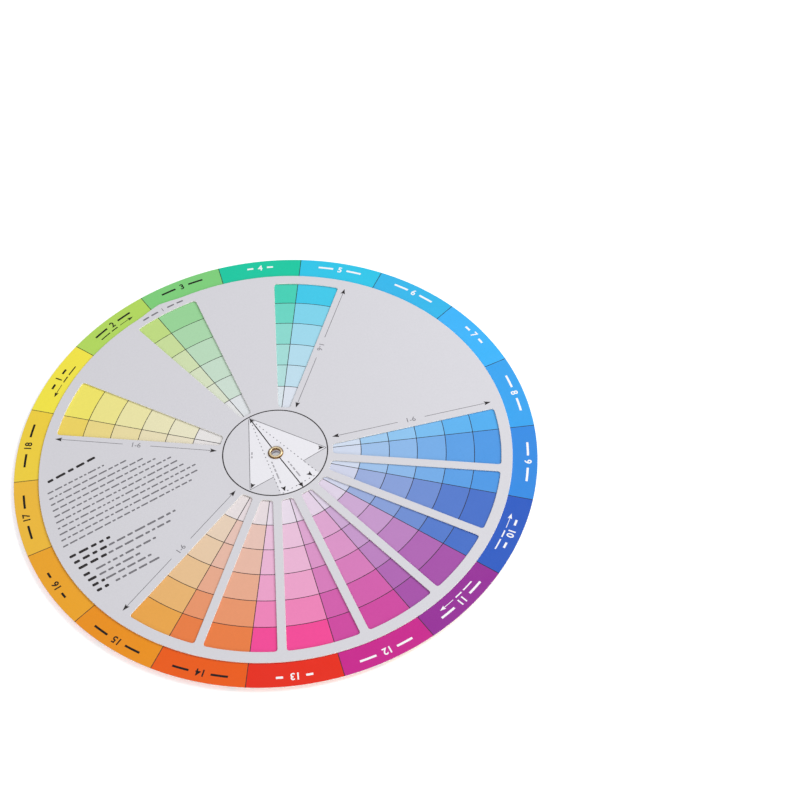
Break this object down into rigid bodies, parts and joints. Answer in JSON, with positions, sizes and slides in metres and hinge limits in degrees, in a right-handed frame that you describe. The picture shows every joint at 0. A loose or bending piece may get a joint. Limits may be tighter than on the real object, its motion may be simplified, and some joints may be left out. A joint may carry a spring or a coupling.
{
  "type": "color mixing wheel",
  "caption": "Round card wheel with a turning windowed dial on each face, held by a central metal eyelet, for reading tints and paint mixes.",
  "frame": {"origin": "on the wheel's axis, at the plane that the part rests on", "axes": "+Z along the axis, from the mixing face to the tints face; the picture's camera stands at -Y, 11 degrees round towards -X, and looks 53 degrees down"},
  "size_m": [0.235, 0.235, 0.0036],
  "materials": {
    "printed_card": "full-colour print under a clear film laminate",
    "grey_card": "light grey print under a clear satin laminate",
    "white_card": "white card with dark print under a clear satin laminate",
    "brass": "polished",
    "nickel": "nickel plated"
  },
  "bodies": {
    "wheel": {"base_disc": "printed_card", "eyelet": "brass", "eyelet_washer": "nickel"},
    "tint_dial": {"tint_dial": "grey_card"},
    "mixing_dial": {"mixing_dial": "white_card"}
  },
  "joints": [
    {"name": "tint_dial_spin", "type": "hinge", "parent": "wheel", "child": "tint_dial", "pos_m": [0, 0, 0.0027], "axis": [0, 0, 1], "continuous": true},
    {"name": "mixing_dial_spin", "type": "hinge", "parent": "wheel", "child": "mixing_dial", "pos_m": [0, 0, 0.0013], "axis": [0, 0, 1], "continuous": true}
  ]
}
